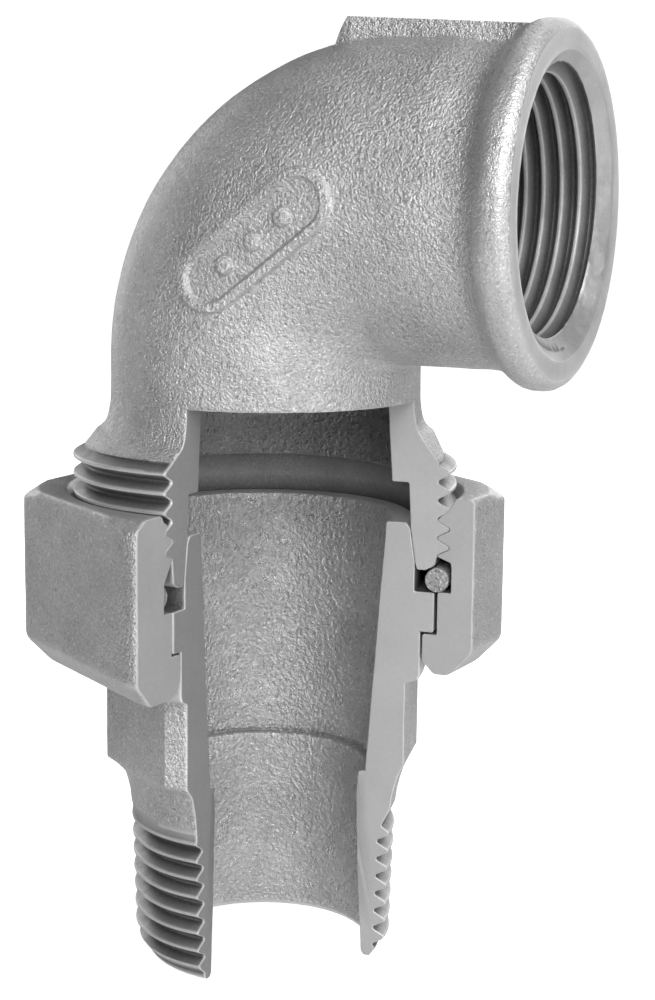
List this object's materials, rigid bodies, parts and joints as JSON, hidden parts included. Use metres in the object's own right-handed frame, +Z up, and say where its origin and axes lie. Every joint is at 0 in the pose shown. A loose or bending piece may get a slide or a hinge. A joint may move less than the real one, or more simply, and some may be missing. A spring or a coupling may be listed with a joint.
{
  "type": "union elbow pipe fitting",
  "caption": "Threaded union elbow with a wedge cut away to show the nut, tailpiece and sealing ring; joins two pipes at a right angle and unscrews.",
  "frame": {"origin": "on the union axis, at the plane of the tailpiece's threaded end", "axes": "+Z up the union axis towards the elbow, +X along the elbow's arm, out of its female mouth"},
  "size_m": [0.0661, 0.0603, 0.1169],
  "materials": {
    "elbow_iron": "as-cast grey outside, machined on the threads, mouth face and cut faces",
    "nut_iron": "as-cast grey flats, machined inside",
    "tail_iron": "as-cast grey, machined thread and cone",
    "seal_rubber": "matt fibre and rubber"
  },
  "bodies": {
    "elbow": {"elbow_body": "elbow_iron"},
    "seal": {"seal_ring": "seal_rubber"},
    "tail": {"tailpiece": "tail_iron"},
    "nut": {"union_nut": "nut_iron"}
  },
  "joints": [
    {"name": "union_travel", "type": "slide", "parent": "elbow", "child": "seal", "axis": [0, 0, -1], "range_m": [0, 0.00925]},
    {"name": "nut_spin", "type": "hinge", "parent": "seal", "child": "nut", "pos_m": [0, 0, 0.05], "axis": [0, 0, -1], "range_deg": [0, 1440]},
    {"name": "tail_swivel", "type": "hinge", "parent": "seal", "child": "tail", "pos_m": [0, 0, 0.03], "axis": [0, 0, 1], "continuous": true}
  ],
  "couplings": [
    {"joint": "union_travel", "follows": "nut_spin", "m_per_rad": 0.00036749}
  ]
}
